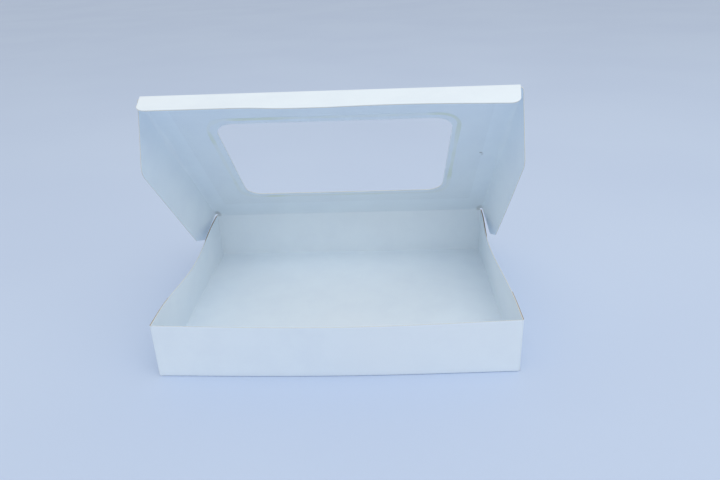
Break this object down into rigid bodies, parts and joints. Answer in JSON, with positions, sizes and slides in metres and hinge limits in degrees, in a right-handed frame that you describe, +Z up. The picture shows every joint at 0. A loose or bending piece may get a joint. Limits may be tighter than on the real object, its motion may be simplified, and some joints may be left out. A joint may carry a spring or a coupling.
{
  "type": "window bakery box",
  "caption": "White card bakery box: a shallow glued tray with a hinged lid, three folding flaps on the lid, and a clear film window glued inside it.",
  "frame": {"origin": "middle of the tray's underside, on the table", "axes": "+X to the right along the front, +Y from the front wall to the hinge, +Z up"},
  "size_m": [0.2414, 0.183, 0.1693],
  "materials": {
    "card": "matte",
    "film": "gloss",
    "glue": "satin"
  },
  "bodies": {
    "tray": {"tray": "card"},
    "lid": {"lid_panel": "card", "window_film": "film", "window_glue": "glue"},
    "front_flap": {"lid_front_flap": "card"},
    "left_flap": {"lid_left_flap": "card"},
    "right_flap": {"lid_right_flap": "card"}
  },
  "joints": [
    {"name": "lid_hinge", "type": "hinge", "parent": "tray", "child": "lid", "pos_m": [0, 0.08877, 0.03853], "axis": [-1, 0, 0], "range_deg": [-45.4, 144.6]},
    {"name": "front_flap_hinge", "type": "hinge", "parent": "lid", "child": "front_flap", "pos_m": [0, -0.04, 0.16912], "axis": [1, 0, 0], "range_deg": [-60, 30]},
    {"name": "left_flap_hinge", "type": "hinge", "parent": "lid", "child": "left_flap", "pos_m": [-0.11553, 0.02438, 0.10382], "axis": [0, -0.7022, 0.712], "range_deg": [-81, 9]},
    {"name": "right_flap_hinge", "type": "hinge", "parent": "lid", "child": "right_flap", "pos_m": [0.11553, 0.02438, 0.10382], "axis": [0, 0.7022, -0.712], "range_deg": [-83, 7]}
  ]
}
